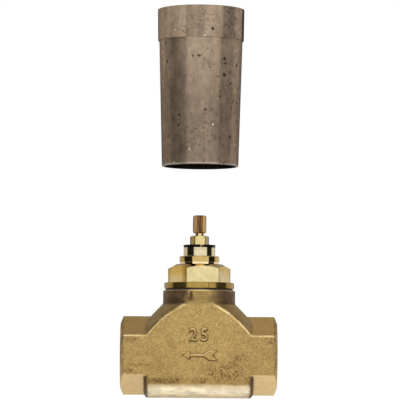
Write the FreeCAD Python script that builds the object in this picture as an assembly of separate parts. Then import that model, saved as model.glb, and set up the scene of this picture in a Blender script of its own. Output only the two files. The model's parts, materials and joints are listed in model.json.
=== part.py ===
import FreeCAD, Part
import math
import os

# Concealed stop valve with threaded sockets, for building into a wall.
# A forged brass body carries a headpart whose spindle turns without rising: its left-hand
# thread lifts a valve cone off the seat. A plastic sleeve slips over the neck and keeps
# plaster off the headpart. It is drawn lifted off, above the spindle.
# Millimetres. The spindle stands on +Z, water runs along -X, and the foot stands on Z = 0.
# Heights in the names below are measured from the pipe axis, unless they say otherwise.

V = FreeCAD.Vector
ORIGIN = V(0, 0, 0)
X_AXIS = V(1, 0, 0)
Z_AXIS = V(0, 0, 1)

# Body: sockets
FACE_TO_FACE = 88.8
SOCKET_FLATS = 39.0
SOCKET_EDGE_RADIUS = 1.2
END_FACE_RADIUS = 18.5
END_CHAMFER_ANGLE = 22.5
PORT_RADIUS = 16.62
PORT_DEPTH = 17.0
PORT_LEAD = 1.0
THROAT_RADIUS = 12.5
THROAT_DEPTH = 5.0

# Body: foot, shoulder and neck
AXIS_HEIGHT_ABOVE_FOOT = 24.0
FOOT_LENGTH = 61.0
FOOT_CORNER_RADIUS = 10.0
FOOT_END_RADIUS = 2.0
NECK_RADIUS = 20.5
NECK_HEIGHT = 37.1
NECK_EDGE_CHAMFER = 0.5
NECK_BORE_RADIUS = 16.5
SHOULDER_HEIGHT = 29.4
SHOULDER_ROOT_HEIGHT = 6.0
SHOULDER_ANGLE = 47.0
SHOULDER_BULGE_RADIUS = 100.0
SHOULDER_BLEND_RADIUS = 2.0
SHOULDER_EDGE_RADIUS = 2.0

# Body: waterway
SEAT_HEIGHT = 6.0
SEAT_LIP_HEIGHT = 2.0
SEAT_LIP_WIDTH = 2.5
SEAT_BORE_RADIUS = 10.0
SEAT_FLOOR_THICKNESS = 6.0
UPPER_CHAMBER_RADIUS = 15.0
UPPER_CHAMBER_HEIGHT = 26.0
LOWER_CHAMBER_RADIUS = 12.0
FOOT_WALL = 4.0
PASSAGE_WIDTH = 26.0
PASSAGE_CORNER_RADIUS = 5.0
OUTLET_PASSAGE_DEPTH = 15.0
OUTLET_PASSAGE_RISE = 14.0
INLET_PASSAGE_DEPTH = 14.0
INLET_PASSAGE_FALL = 11.0
PASSAGE_RUN = 21.0
SEAT_POST_WALL = 4.0

# Bonnet
GASKET_THICKNESS = 0.85
GASKET_INSET = 0.7
FLANGE_RADIUS = 19.9
FLANGE_THICKNESS = 3.5
FLANGE_EDGE_CHAMFER = 0.25
BONNET_FLATS = 31.0
BONNET_HEX_HEIGHT = 10.5
BONNET_HEX_TOP_RADIUS = 13.4
BONNET_HEX_TURN = 7.0
HEX_CHAMFER_ANGLE = 30.0
LOWER_COLLAR_RADIUS = 11.3
LOWER_COLLAR_HEIGHT = 4.6
COLLAR_RELIEF_HEIGHT = 1.2
COLLAR_RELIEF_DEPTH = 0.45
UPPER_COLLAR_RADIUS = 9.0
UPPER_COLLAR_HEIGHT = 5.25
COLLAR_EDGE_CHAMFER = 0.3
SHANK_LENGTH = 11.0
NOSE_LENGTH = 7.0
NOSE_WALL = 3.0
NOSE_CLEARANCE = 1.0
GUIDE_DEPTH = 10.0
GUIDE_HEX_FLATS = 17.0

# Spindle
STEM_RADIUS = 5.5
THRUST_COLLAR_RADIUS = 8.0
THRUST_COLLAR_THICKNESS = 1.8
THRUST_WASHER_THICKNESS = 0.8
THRUST_SEAT_ABOVE_FLANGE = 5.1
DRIVE_THREAD_RADIUS = 5.0
DRIVE_THREAD_LENGTH = 19.0
DRIVE_END_GAP = 0.9
STEM_SEAL_SPACING = 6.0
SPINDLE_FLATS = 9.3
SPINDLE_HEX_HEIGHT = 5.1
SPINDLE_HEX_TURN = 3.5
SPINDLE_HEX_TOP_RADIUS = 4.6
UNDERCUT_RADIUS = 2.4
UNDERCUT_HEIGHT = 1.55
SPLINE_RADIUS = 3.825
SPLINE_TOOTH_DEPTH = 0.5
SPLINE_TEETH = 20
SPLINE_HEIGHT = 10.15
SPLINE_END_CHAMFER = 0.6
HANDLE_SCREW_RADIUS = 1.65
HANDLE_SCREW_DEPTH = 9.0

# Retaining clip
CLIP_RADIUS = 9.1
CLIP_THICKNESS = 1.2
CLIP_GROOVE_DEPTH = 1.0
CLIP_GAP = 1.9
CLIP_GAP_TURN = 10.0

# Round seals
SEAL_SECTION = 2.0
SEAL_GROOVE_WIDTH = 2.4

# Valve cone and its seat washer
VALVE_TRAVEL = 5.0
CONE_STOP_GAP = 0.2
SEAT_WASHER_RADIUS = 12.0
SEAT_WASHER_THICKNESS = 3.0
SEAT_WASHER_STANDOUT = 1.0
CUP_WALL = 1.0
CUP_FLOOR = 3.0
CONE_HEX_LENGTH = 9.0
CONE_SEAL_FROM_HEX = 2.8
WASHER_PLATE_RADIUS = 7.0
WASHER_PLATE_THICKNESS = 1.0
WASHER_SCREW_RADIUS = 2.5
WASHER_SCREW_LENGTH = 8.0
WASHER_SCREW_HEAD_RADIUS = 4.3
WASHER_SCREW_HEAD_HEIGHT = 2.6
WASHER_SCREW_SLOT_WIDTH = 1.2
WASHER_SCREW_SLOT_DEPTH = 1.2
WASHER_SCREW_TIP_GAP = 0.5

# Plaster sleeve
SLEEVE_HEIGHT = 90.0
SLEEVE_FOOT_WALL = 1.2
SLEEVE_TAPER_PER_SIDE = 2.0
SLEEVE_RIM_HEIGHT = 18.0
SLEEVE_RIM_STEP = 0.7
SLEEVE_WALL_AT_RIM = 1.3
SLEEVE_EDGE_RADIUS = 0.35
SLEEVE_LIFTED_HEIGHT = 108.0

# Clearances
RUNNING_CLEARANCE = 0.05
THREAD_CLEARANCE = 0.1
SLIDING_CLEARANCE = 0.1
SLEEVE_CLEARANCE = 0.15

# Heights that follow from the sizes above
FLANGE_BOTTOM = NECK_HEIGHT + GASKET_THICKNESS
FLANGE_TOP = FLANGE_BOTTOM + FLANGE_THICKNESS
BONNET_HEX_TOP = FLANGE_TOP + BONNET_HEX_HEIGHT
LOWER_COLLAR_TOP = BONNET_HEX_TOP + LOWER_COLLAR_HEIGHT
UPPER_COLLAR_TOP = LOWER_COLLAR_TOP + UPPER_COLLAR_HEIGHT
SHANK_BOTTOM = FLANGE_BOTTOM - SHANK_LENGTH
NOSE_BOTTOM = SHANK_BOTTOM - NOSE_LENGTH
GUIDE_TOP = NOSE_BOTTOM + GUIDE_DEPTH
THRUST_SEAT = FLANGE_BOTTOM + THRUST_SEAT_ABOVE_FLANGE
CLIP_BOTTOM = UPPER_COLLAR_TOP + RUNNING_CLEARANCE
SPINDLE_HEX_BOTTOM = CLIP_BOTTOM + CLIP_THICKNESS + RUNNING_CLEARANCE
SPINDLE_HEX_TOP = SPINDLE_HEX_BOTTOM + SPINDLE_HEX_HEIGHT
SPLINE_BOTTOM = SPINDLE_HEX_TOP + UNDERCUT_HEIGHT
SPLINE_TOP = SPLINE_BOTTOM + SPLINE_HEIGHT
THRUST_COLLAR_TOP = THRUST_SEAT - THRUST_WASHER_THICKNESS
THRUST_COLLAR_BOTTOM = THRUST_COLLAR_TOP - THRUST_COLLAR_THICKNESS
SPINDLE_BOTTOM = THRUST_COLLAR_BOTTOM - DRIVE_THREAD_LENGTH
WASHER_TOP = SEAT_HEIGHT + SEAT_WASHER_THICKNESS
CONE_BODY_BOTTOM = WASHER_TOP + CUP_FLOOR
CONE_HEX_BOTTOM = GUIDE_TOP - VALVE_TRAVEL - CONE_STOP_GAP
CONE_TOP = CONE_HEX_BOTTOM + CONE_HEX_LENGTH
CONE_BORE_BOTTOM = SPINDLE_BOTTOM - VALVE_TRAVEL - DRIVE_END_GAP
STEM_BORE_RADIUS = STEM_RADIUS + RUNNING_CLEARANCE
GUIDE_BORE_RADIUS = UPPER_CHAMBER_RADIUS - NOSE_CLEARANCE - NOSE_WALL
CONE_BODY_RADIUS = GUIDE_BORE_RADIUS - SLIDING_CLEARANCE


def revolve(points, axis=Z_AXIS):
    """Solid turned from a closed outline. Points are (radius, height) about Z, or (along, radius) about X."""
    if axis is X_AXIS:
        corners = [V(along, 0, radius) for along, radius in points]
    else:
        corners = [V(radius, 0, height) for radius, height in points]
    outline = Part.makePolygon(corners + corners[:1])
    return Part.Face(outline).revolve(ORIGIN, axis, 360)


def cylinder(radius, bottom, top):
    return Part.makeCylinder(radius, top - bottom, V(0, 0, bottom))


def hexagon_prism(flats, bottom, top, turn=0.0):
    """Hexagon bar standing on Z, with a flat towards -Y before it is turned."""
    corner_radius = flats / math.sqrt(3)
    corners = []
    for side in range(6):
        angle = math.radians(60 * side + turn)
        corners.append(V(corner_radius * math.cos(angle), corner_radius * math.sin(angle), bottom))
    face = Part.Face(Part.makePolygon(corners + corners[:1]))
    return face.extrude(V(0, 0, top - bottom))


def chamfered_top(flats, top_radius, bottom, top):
    """Turned blank whose cone takes the top corners off a hexagon."""
    outer = flats * 2 / 3
    drop = (outer - top_radius) * math.tan(math.radians(HEX_CHAMFER_ANGLE))
    return revolve([(0, bottom), (outer, bottom), (outer, top - drop), (top_radius, top), (0, top)])


def round_seal(groove_radius, middle_height):
    """Round sealing ring that lies in a groove of that radius."""
    section_radius = SEAL_SECTION / 2
    ring_radius = groove_radius + RUNNING_CLEARANCE + section_radius
    return Part.makeTorus(ring_radius, section_radius, V(0, 0, middle_height))


def edges_on_plane_y(shape, distance):
    """Edges that lie whole in the planes Y = distance and Y = -distance."""
    found = []
    for edge in shape.Edges:
        box = edge.BoundBox
        flat = box.YLength < 1e-4
        if flat and abs(abs(box.Center.y) - distance) < 1e-4:
            found.append(edge)
    return found


# Body

def socket_bar():
    """Hexagon bar along the pipe, with a ridge on top and flats to the front and back."""
    corner_radius = SOCKET_FLATS / math.sqrt(3)
    corners = []
    for side in range(6):
        angle = math.radians(60 * side + 90)
        corners.append(V(-FACE_TO_FACE / 2, corner_radius * math.cos(angle), corner_radius * math.sin(angle)))
    bar = Part.Face(Part.makePolygon(corners + corners[:1])).extrude(V(FACE_TO_FACE, 0, 0))
    long_edges = [edge for edge in bar.Edges if edge.BoundBox.XLength > FACE_TO_FACE / 2]
    return bar.makeFillet(SOCKET_EDGE_RADIUS, long_edges)


def shoulder_outline():
    """Half section of neck and shoulder. The shoulder leaves the neck at its angle and steepens on the way down."""
    lean = math.radians(SHOULDER_ANGLE)
    root_lean = math.asin(math.sin(lean) - (SHOULDER_HEIGHT - SHOULDER_ROOT_HEIGHT) / SHOULDER_BULGE_RADIUS)

    def on_bulge(angle):
        return V(NECK_RADIUS + SHOULDER_BULGE_RADIUS * (math.cos(angle) - math.cos(lean)), 0,
                 SHOULDER_HEIGHT - SHOULDER_BULGE_RADIUS * (math.sin(lean) - math.sin(angle)))

    foot_middle = V(0, 0, SHOULDER_ROOT_HEIGHT)
    top_middle = V(0, 0, NECK_HEIGHT)
    corner = on_bulge(lean)
    neck_edge = V(NECK_RADIUS, 0, NECK_HEIGHT - NECK_EDGE_CHAMFER)
    top_edge = V(NECK_RADIUS - NECK_EDGE_CHAMFER, 0, NECK_HEIGHT)
    return Part.Wire([
        Part.makeLine(foot_middle, on_bulge(root_lean)),
        Part.Arc(on_bulge(root_lean), on_bulge((root_lean + lean) / 2), corner).toShape(),
        Part.makeLine(corner, neck_edge),
        Part.makeLine(neck_edge, top_edge),
        Part.makeLine(top_edge, top_middle),
        Part.makeLine(top_middle, foot_middle),
    ])


def shoulder_and_neck():
    """Turned neck that runs out into a bulged shoulder, with flats to the front and back."""
    turned = Part.Face(shoulder_outline()).revolve(ORIGIN, Z_AXIS, 360)
    root_circles = [edge for edge in turned.Edges
                    if len(edge.Vertexes) == 1 and abs(edge.BoundBox.ZMin - SHOULDER_HEIGHT) < 1e-4]
    turned = turned.makeFillet(SHOULDER_BLEND_RADIUS, root_circles)
    width = 2 * turned.BoundBox.XLength
    slab = Part.makeBox(width, SOCKET_FLATS, 2 * NECK_HEIGHT, V(-width / 2, -SOCKET_FLATS / 2, -NECK_HEIGHT / 2))
    flatted = turned.common(slab)
    front_edges = [edge for edge in edges_on_plane_y(flatted, SOCKET_FLATS / 2)
                   if edge.BoundBox.ZLength > NECK_EDGE_CHAMFER * 2]
    return flatted.makeFillet(SHOULDER_EDGE_RADIUS, front_edges)


def foot_block():
    """Rounded block under the pipe axis, with the flat that the valve stands on."""
    block = Part.makeBox(FOOT_LENGTH, SOCKET_FLATS, AXIS_HEIGHT_ABOVE_FOOT,
                         V(-FOOT_LENGTH / 2, -SOCKET_FLATS / 2, -AXIS_HEIGHT_ABOVE_FOOT))
    long_edges = [edge for edge in block.Edges
                  if edge.BoundBox.XLength > FOOT_LENGTH / 2 and edge.BoundBox.ZMax < -AXIS_HEIGHT_ABOVE_FOOT / 2]
    block = block.makeFillet(FOOT_CORNER_RADIUS, long_edges)
    end_edges = [edge for edge in block.Edges
                 if edge.BoundBox.XLength < 1e-4 and edge.BoundBox.ZMin < -AXIS_HEIGHT_ABOVE_FOOT / 4]
    return block.makeFillet(FOOT_END_RADIUS, end_edges)


def end_trim():
    """Turned envelope about the pipe axis that chamfers the corners of both sockets."""
    outer = FACE_TO_FACE
    half = FACE_TO_FACE / 2
    setback = (outer - END_FACE_RADIUS) * math.tan(math.radians(END_CHAMFER_ANGLE))
    return revolve([(-half, 0), (-half, END_FACE_RADIUS), (setback - half, outer),
                    (half - setback, outer), (half, END_FACE_RADIUS), (half, 0)], X_AXIS)


def passage(start, end, width, depth):
    """Rounded rectangular duct between two points of the plane Y = 0."""
    run = end.sub(start)
    duct = Part.makeBox(width, depth, run.Length, V(-width / 2, -depth / 2, 0))
    long_edges = [edge for edge in duct.Edges if edge.BoundBox.ZLength > run.Length / 2]
    duct = duct.makeFillet(PASSAGE_CORNER_RADIUS, long_edges)
    lean = math.degrees(math.atan2(run.x, run.z))
    duct.rotate(ORIGIN, Z_AXIS, 90)
    duct.rotate(ORIGIN, V(0, 1, 0), lean)
    duct.translate(start)
    return duct


def port(side):
    """Threaded mouth, throat and lead-in chamfer of one socket. Side is 1 for the inlet, -1 for the outlet."""
    mouth = FACE_TO_FACE / 2
    bottom = mouth - PORT_DEPTH
    return revolve([(side * (bottom - THROAT_DEPTH), 0), (side * (bottom - THROAT_DEPTH), THROAT_RADIUS),
                    (side * bottom, THROAT_RADIUS), (side * bottom, PORT_RADIUS),
                    (side * (mouth - PORT_LEAD), PORT_RADIUS), (side * mouth, PORT_RADIUS + PORT_LEAD),
                    (side * mouth, 0)], X_AXIS)


def waterway():
    """Everything that is hollow in the body: ports, passages, chambers, seat bore and neck."""
    chamber_floor = SEAT_HEIGHT - SEAT_LIP_HEIGHT
    partition_bottom = chamber_floor - SEAT_FLOOR_THICKNESS
    lower_floor = FOOT_WALL - AXIS_HEIGHT_ABOVE_FOOT
    passage_start = FACE_TO_FACE / 2 - PORT_DEPTH
    passage_end = passage_start - PASSAGE_RUN

    upper = cylinder(UPPER_CHAMBER_RADIUS, chamber_floor, UPPER_CHAMBER_HEIGHT)
    lip_blank = cylinder(SEAT_BORE_RADIUS + SEAT_LIP_WIDTH, chamber_floor, SEAT_HEIGHT)
    upper = upper.cut(lip_blank)
    neck = cylinder(NECK_BORE_RADIUS, UPPER_CHAMBER_HEIGHT, NECK_HEIGHT)
    seat_bore = cylinder(SEAT_BORE_RADIUS, partition_bottom, SEAT_HEIGHT)
    lower = cylinder(LOWER_CHAMBER_RADIUS, lower_floor, partition_bottom)

    outlet = passage(V(-passage_start, 0, 0), V(-passage_end, 0, OUTLET_PASSAGE_RISE),
                     PASSAGE_WIDTH, OUTLET_PASSAGE_DEPTH)
    seat_post = cylinder(SEAT_BORE_RADIUS + SEAT_POST_WALL, lower_floor, chamber_floor)
    outlet = outlet.cut(seat_post).cut(lip_blank)
    inlet = passage(V(passage_start, 0, 0), V(passage_end, 0, -INLET_PASSAGE_FALL),
                    PASSAGE_WIDTH, INLET_PASSAGE_DEPTH)
    return upper.multiFuse([neck, seat_bore, lower, outlet, inlet, port(1), port(-1)])


def valve_body():
    blank = socket_bar().multiFuse([shoulder_and_neck(), foot_block()]).removeSplitter()
    return blank.common(end_trim()).cut(waterway()).removeSplitter()


# Headpart

def bonnet_gasket():
    outer = FLANGE_RADIUS - GASKET_INSET
    ring = cylinder(outer, NECK_HEIGHT, FLANGE_BOTTOM)
    return ring.cut(cylinder(NECK_BORE_RADIUS, NECK_HEIGHT, FLANGE_BOTTOM))


def bonnet():
    shank_radius = NECK_BORE_RADIUS - THREAD_CLEARANCE
    nose_radius = GUIDE_BORE_RADIUS + NOSE_WALL
    relief_radius = LOWER_COLLAR_RADIUS - COLLAR_RELIEF_DEPTH
    relief_top = BONNET_HEX_TOP + COLLAR_RELIEF_HEIGHT
    edge = COLLAR_EDGE_CHAMFER
    rim = FLANGE_EDGE_CHAMFER
    turned = revolve([
        (0, NOSE_BOTTOM), (nose_radius, NOSE_BOTTOM), (nose_radius, SHANK_BOTTOM),
        (shank_radius, SHANK_BOTTOM), (shank_radius, FLANGE_BOTTOM),
        (FLANGE_RADIUS - rim, FLANGE_BOTTOM), (FLANGE_RADIUS, FLANGE_BOTTOM + rim),
        (FLANGE_RADIUS, FLANGE_TOP - rim), (FLANGE_RADIUS - rim, FLANGE_TOP),
        (relief_radius, FLANGE_TOP), (relief_radius, relief_top),
        (LOWER_COLLAR_RADIUS, relief_top), (LOWER_COLLAR_RADIUS, LOWER_COLLAR_TOP - edge),
        (LOWER_COLLAR_RADIUS - edge, LOWER_COLLAR_TOP), (UPPER_COLLAR_RADIUS, LOWER_COLLAR_TOP),
        (UPPER_COLLAR_RADIUS, UPPER_COLLAR_TOP - edge), (UPPER_COLLAR_RADIUS - edge, UPPER_COLLAR_TOP),
        (0, UPPER_COLLAR_TOP),
    ])
    nut = hexagon_prism(BONNET_FLATS, FLANGE_TOP, BONNET_HEX_TOP, BONNET_HEX_TURN)
    nut = nut.common(chamfered_top(BONNET_FLATS, BONNET_HEX_TOP_RADIUS, FLANGE_TOP, BONNET_HEX_TOP))
    hollow = cylinder(GUIDE_BORE_RADIUS, NOSE_BOTTOM, GUIDE_TOP).multiFuse([
        hexagon_prism(GUIDE_HEX_FLATS, GUIDE_TOP, THRUST_SEAT),
        cylinder(STEM_BORE_RADIUS, THRUST_SEAT, UPPER_COLLAR_TOP),
    ])
    return turned.fuse(nut).cut(hollow).removeSplitter()


def thrust_washer():
    ring = cylinder(THRUST_COLLAR_RADIUS, THRUST_COLLAR_TOP, THRUST_SEAT)
    return ring.cut(cylinder(STEM_BORE_RADIUS, THRUST_COLLAR_TOP, THRUST_SEAT))


def stem_seal_heights():
    """Middles of the two stem seals, spread about the middle of the stem bore."""
    middle = (THRUST_SEAT + UPPER_COLLAR_TOP) / 2
    return [middle - STEM_SEAL_SPACING / 2, middle + STEM_SEAL_SPACING / 2]


def stem_groove_radius():
    return STEM_BORE_RADIUS - RUNNING_CLEARANCE - SEAL_SECTION - RUNNING_CLEARANCE


def spline():
    """Serrated end that takes a handle, with chamfered ends."""
    root_radius = SPLINE_RADIUS - SPLINE_TOOTH_DEPTH
    points = []
    for step in range(2 * SPLINE_TEETH):
        radius = SPLINE_RADIUS if step % 2 == 0 else root_radius
        angle = math.pi * step / SPLINE_TEETH
        points.append(V(radius * math.cos(angle), radius * math.sin(angle), SPLINE_BOTTOM))
    toothed = Part.Face(Part.makePolygon(points + points[:1])).extrude(V(0, 0, SPLINE_HEIGHT))
    end_radius = SPLINE_RADIUS - SPLINE_END_CHAMFER
    envelope = revolve([(0, SPLINE_BOTTOM), (end_radius, SPLINE_BOTTOM),
                        (SPLINE_RADIUS, SPLINE_BOTTOM + SPLINE_END_CHAMFER),
                        (SPLINE_RADIUS, SPLINE_TOP - SPLINE_END_CHAMFER),
                        (end_radius, SPLINE_TOP), (0, SPLINE_TOP)])
    return toothed.common(envelope)


def spindle():
    """Non-rising spindle: drive thread, thrust collar, sealed stem, wrench hexagon and serrated end."""
    clip_groove_radius = STEM_RADIUS - CLIP_GROOVE_DEPTH
    outline = [(0, SPINDLE_BOTTOM), (DRIVE_THREAD_RADIUS, SPINDLE_BOTTOM),
               (DRIVE_THREAD_RADIUS, THRUST_COLLAR_BOTTOM),
               (THRUST_COLLAR_RADIUS, THRUST_COLLAR_BOTTOM), (THRUST_COLLAR_RADIUS, THRUST_COLLAR_TOP)]
    outline.append((STEM_RADIUS, THRUST_COLLAR_TOP))
    for middle in stem_seal_heights():
        low = middle - SEAL_GROOVE_WIDTH / 2
        high = middle + SEAL_GROOVE_WIDTH / 2
        outline += [(STEM_RADIUS, low), (stem_groove_radius(), low),
                    (stem_groove_radius(), high), (STEM_RADIUS, high)]
    outline += [(STEM_RADIUS, UPPER_COLLAR_TOP), (clip_groove_radius, UPPER_COLLAR_TOP),
                (clip_groove_radius, SPINDLE_HEX_BOTTOM), (UNDERCUT_RADIUS, SPINDLE_HEX_BOTTOM),
                (UNDERCUT_RADIUS, SPLINE_BOTTOM), (0, SPLINE_BOTTOM)]
    wrench_hex = hexagon_prism(SPINDLE_FLATS, SPINDLE_HEX_BOTTOM, SPINDLE_HEX_TOP, SPINDLE_HEX_TURN)
    wrench_hex = wrench_hex.common(chamfered_top(SPINDLE_FLATS, SPINDLE_HEX_TOP_RADIUS,
                                                 SPINDLE_HEX_BOTTOM, SPINDLE_HEX_TOP))
    screw_hole = cylinder(HANDLE_SCREW_RADIUS, SPLINE_TOP - HANDLE_SCREW_DEPTH, SPLINE_TOP)
    return revolve(outline).multiFuse([wrench_hex, spline()]).cut(screw_hole).removeSplitter()


def retaining_clip():
    """Open spring clip in the stem's groove, resting on the bonnet, with its gap to the front."""
    inner = STEM_RADIUS - CLIP_GROOVE_DEPTH + RUNNING_CLEARANCE
    top = CLIP_BOTTOM + CLIP_THICKNESS
    ring = cylinder(CLIP_RADIUS, CLIP_BOTTOM, top).cut(cylinder(inner, CLIP_BOTTOM, top))
    gap = Part.makeBox(CLIP_GAP, 2 * CLIP_RADIUS, CLIP_THICKNESS,
                       V(-CLIP_GAP / 2, -2 * CLIP_RADIUS, CLIP_BOTTOM))
    gap.rotate(ORIGIN, Z_AXIS, CLIP_GAP_TURN)
    return ring.cut(gap)


# Valve cone

def cone_groove_radius():
    return GUIDE_BORE_RADIUS - RUNNING_CLEARANCE - SEAL_SECTION - RUNNING_CLEARANCE


def cone_seal_height():
    return CONE_HEX_BOTTOM - CONE_SEAL_FROM_HEX


def washer_screw_tip():
    return SEAT_HEIGHT - WASHER_PLATE_THICKNESS + WASHER_SCREW_LENGTH


def valve_cone():
    """Carrier that the spindle's thread lifts: washer cup, sealed body and guiding hexagon."""
    cup_radius = SEAT_WASHER_RADIUS + SLIDING_CLEARANCE + CUP_WALL
    low = cone_seal_height() - SEAL_GROOVE_WIDTH / 2
    high = cone_seal_height() + SEAL_GROOVE_WIDTH / 2
    turned = revolve([
        (0, SEAT_HEIGHT + SEAT_WASHER_STANDOUT), (cup_radius, SEAT_HEIGHT + SEAT_WASHER_STANDOUT),
        (cup_radius, CONE_BODY_BOTTOM), (CONE_BODY_RADIUS, CONE_BODY_BOTTOM),
        (CONE_BODY_RADIUS, low), (cone_groove_radius(), low),
        (cone_groove_radius(), high), (CONE_BODY_RADIUS, high),
        (CONE_BODY_RADIUS, CONE_HEX_BOTTOM), (0, CONE_HEX_BOTTOM),
    ])
    guide = hexagon_prism(GUIDE_HEX_FLATS - 2 * SLIDING_CLEARANCE, CONE_HEX_BOTTOM, CONE_TOP)
    hollow = [
        cylinder(SEAT_WASHER_RADIUS + SLIDING_CLEARANCE, SEAT_HEIGHT, WASHER_TOP),
        cylinder(DRIVE_THREAD_RADIUS + THREAD_CLEARANCE, CONE_BORE_BOTTOM, CONE_TOP),
        cylinder(WASHER_SCREW_RADIUS + THREAD_CLEARANCE, WASHER_TOP, washer_screw_tip() + WASHER_SCREW_TIP_GAP),
    ]
    return turned.fuse(guide).cut(hollow[0].multiFuse(hollow[1:])).removeSplitter()


def seat_washer():
    disc = cylinder(SEAT_WASHER_RADIUS, SEAT_HEIGHT, WASHER_TOP)
    return disc.cut(cylinder(WASHER_SCREW_RADIUS + THREAD_CLEARANCE, SEAT_HEIGHT, WASHER_TOP))


def washer_plate():
    bottom = SEAT_HEIGHT - WASHER_PLATE_THICKNESS
    plate = cylinder(WASHER_PLATE_RADIUS, bottom, SEAT_HEIGHT)
    return plate.cut(cylinder(WASHER_SCREW_RADIUS + THREAD_CLEARANCE, bottom, SEAT_HEIGHT))


def washer_screw():
    """Slotted screw that clamps the seat washer from below."""
    head_top = SEAT_HEIGHT - WASHER_PLATE_THICKNESS
    head_bottom = head_top - WASHER_SCREW_HEAD_HEIGHT
    screw = cylinder(WASHER_SCREW_HEAD_RADIUS, head_bottom, head_top)
    screw = screw.fuse(cylinder(WASHER_SCREW_RADIUS, head_top, washer_screw_tip()))
    slot = Part.makeBox(4 * WASHER_SCREW_HEAD_RADIUS, WASHER_SCREW_SLOT_WIDTH, WASHER_SCREW_SLOT_DEPTH,
                        V(-2 * WASHER_SCREW_HEAD_RADIUS, -WASHER_SCREW_SLOT_WIDTH / 2, head_bottom))
    return screw.cut(slot)


# Sleeve

def plaster_sleeve():
    """Tapered moulded tube, open at both ends, with a thicker rim at its wide end."""
    foot_inner = NECK_RADIUS + SLEEVE_CLEARANCE
    foot_outer = foot_inner + SLEEVE_FOOT_WALL
    rim_foot = SLEEVE_HEIGHT - SLEEVE_RIM_HEIGHT
    outer_at_rim = foot_outer + SLEEVE_TAPER_PER_SIDE
    slope = SLEEVE_TAPER_PER_SIDE / rim_foot
    rim_outer = outer_at_rim + SLEEVE_RIM_STEP
    top_inner = outer_at_rim + slope * SLEEVE_RIM_HEIGHT - SLEEVE_WALL_AT_RIM
    sleeve = revolve([
        (foot_inner, 0), (foot_outer, 0), (outer_at_rim, rim_foot), (rim_outer, rim_foot),
        (rim_outer + slope * SLEEVE_RIM_HEIGHT / 2, SLEEVE_HEIGHT), (top_inner, SLEEVE_HEIGHT),
    ])
    round_edges = [edge for edge in sleeve.Edges
                   if len(edge.Vertexes) == 1 and edge.BoundBox.XMax > foot_outer - SLEEVE_EDGE_RADIUS
                   and abs(edge.BoundBox.ZMin - rim_foot) > SLEEVE_RIM_STEP]
    sleeve = sleeve.makeFillet(SLEEVE_EDGE_RADIUS, round_edges)
    sleeve.translate(V(0, 0, SLEEVE_LIFTED_HEIGHT))
    return sleeve


def main():
    lower_seal, upper_seal = stem_seal_heights()
    pieces = {
        "valve_body": valve_body(),
        "bonnet_gasket": bonnet_gasket(),
        "bonnet": bonnet(),
        "thrust_washer": thrust_washer(),
        "spindle": spindle(),
        "lower_stem_seal": round_seal(stem_groove_radius(), lower_seal),
        "upper_stem_seal": round_seal(stem_groove_radius(), upper_seal),
        "retaining_clip": retaining_clip(),
        "valve_cone": valve_cone(),
        "cone_seal": round_seal(cone_groove_radius(), cone_seal_height()),
        "seat_washer": seat_washer(),
        "washer_plate": washer_plate(),
        "washer_screw": washer_screw(),
        "plaster_sleeve": plaster_sleeve(),
    }
    os.makedirs("parts", exist_ok=True)
    for name, shape in pieces.items():
        shape.translate(V(0, 0, AXIS_HEIGHT_ABOVE_FOOT))
        solids = shape.Solids
        print(name, "solids", len(solids), "valid", shape.isValid(), "volume", round(shape.Volume, 1))
        Part.makeCompound(solids).exportStep(os.path.join("parts", name + ".step"))


main()
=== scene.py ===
"""Looks for a concealed stop valve: finishes, raised marks, pipe threads, studio and camera."""

import json
import math
from functools import partial, reduce

import bmesh
import bpy
from bpy.props import FloatProperty, FloatVectorProperty, IntProperty, PointerProperty, StringProperty
from bpy.types import Operator, Panel, PropertyGroup
from mathutils import Color, Matrix, Vector

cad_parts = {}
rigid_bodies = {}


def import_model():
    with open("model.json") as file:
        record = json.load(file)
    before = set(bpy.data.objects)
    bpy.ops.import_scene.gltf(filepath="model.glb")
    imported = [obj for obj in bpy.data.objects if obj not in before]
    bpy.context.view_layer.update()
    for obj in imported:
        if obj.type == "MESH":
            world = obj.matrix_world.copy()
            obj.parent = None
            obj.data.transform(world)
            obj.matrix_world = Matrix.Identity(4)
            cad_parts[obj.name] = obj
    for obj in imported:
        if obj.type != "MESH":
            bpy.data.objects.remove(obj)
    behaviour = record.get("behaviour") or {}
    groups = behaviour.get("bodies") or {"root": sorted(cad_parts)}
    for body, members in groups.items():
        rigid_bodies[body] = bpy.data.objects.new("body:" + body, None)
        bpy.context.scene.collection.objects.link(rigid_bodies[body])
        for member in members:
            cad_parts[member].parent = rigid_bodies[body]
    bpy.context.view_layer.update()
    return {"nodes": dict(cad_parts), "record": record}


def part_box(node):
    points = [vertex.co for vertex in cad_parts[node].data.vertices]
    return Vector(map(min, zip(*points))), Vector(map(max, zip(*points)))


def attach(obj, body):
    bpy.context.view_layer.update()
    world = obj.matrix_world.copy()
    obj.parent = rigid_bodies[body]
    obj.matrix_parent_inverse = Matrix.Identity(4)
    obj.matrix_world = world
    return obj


bl_info = {
    "name": "Concealed Stop Valve",
    "version": (1, 0, 0),
    "blender": (4, 5, 0),
    "location": "3D View > Sidebar > Stop Valve",
    "description": "Finishes, raised marks, pipe threads and studio for a concealed stop valve",
    "category": "Object",
}

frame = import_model()
NODES = frame["nodes"]
MOUNTS = {mount["name"]: mount for mount in frame["record"]["mounts"]}
MM = 0.001

# Places read from the frame
BODY_LOW, BODY_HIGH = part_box("valve_body")
SPINDLE_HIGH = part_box("spindle")[1]
SLEEVE_LOW, SLEEVE_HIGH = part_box("plaster_sleeve")
FLANGE_BOTTOM_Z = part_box("bonnet_gasket")[1].z
PIPE_AXIS_Z = MOUNTS["inlet"]["pos_m"][2]
PORT_RADIUS = MOUNTS["inlet"]["dims"]["r_mm"] * MM
PORT_LENGTH = MOUNTS["inlet"]["dims"]["length_mm"] * MM
PORT_MOUTH_X = abs(MOUNTS["inlet"]["pos_m"][0])
FRONT_Y = BODY_LOW.y

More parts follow.
